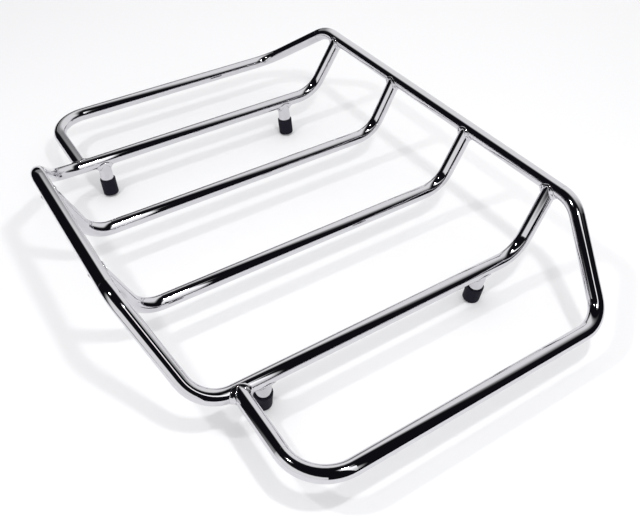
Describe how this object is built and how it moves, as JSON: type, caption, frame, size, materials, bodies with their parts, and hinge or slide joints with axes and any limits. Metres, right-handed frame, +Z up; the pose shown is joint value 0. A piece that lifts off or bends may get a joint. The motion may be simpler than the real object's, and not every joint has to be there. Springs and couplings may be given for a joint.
{
  "type": "motorcycle luggage rack",
  "caption": "Chromed tube rack for the lid of a motorcycle top case, with raised front and rear rails, inner bars and leaning posts on rubber feet.",
  "frame": {"origin": "on the ground under the middle of the rack", "axes": "+X across the rack to its right side, +Y to the raised front rail, +Z up"},
  "size_m": [0.5246, 0.3628, 0.1023],
  "materials": {
    "chrome": "bright chrome plate over bent and welded steel tube",
    "rubber": "matte moulded black rubber"
  },
  "bodies": {
    "root": {"outer_rail": "chrome", "main_hoop": "chrome", "inner_bar_left": "chrome", "inner_bar_right": "chrome", "post_front_left": "chrome", "post_front_right": "chrome", "post_rear_left": "chrome", "post_rear_right": "chrome", "foot_front_left": "rubber", "foot_front_right": "rubber", "foot_rear_left": "rubber", "foot_rear_right": "rubber", "weld_hoop_front_left": "chrome", "weld_hoop_front_right": "chrome", "weld_bar_front_left": "chrome", "weld_bar_front_right": "chrome", "weld_bar_rear_left": "chrome", "weld_bar_rear_right": "chrome", "weld_leg_left": "chrome", "weld_leg_right": "chrome", "weld_post_front_left": "chrome", "weld_post_front_right": "chrome", "weld_post_rear_left": "chrome", "weld_post_rear_right": "chrome"}
  },
  "joints": []
}
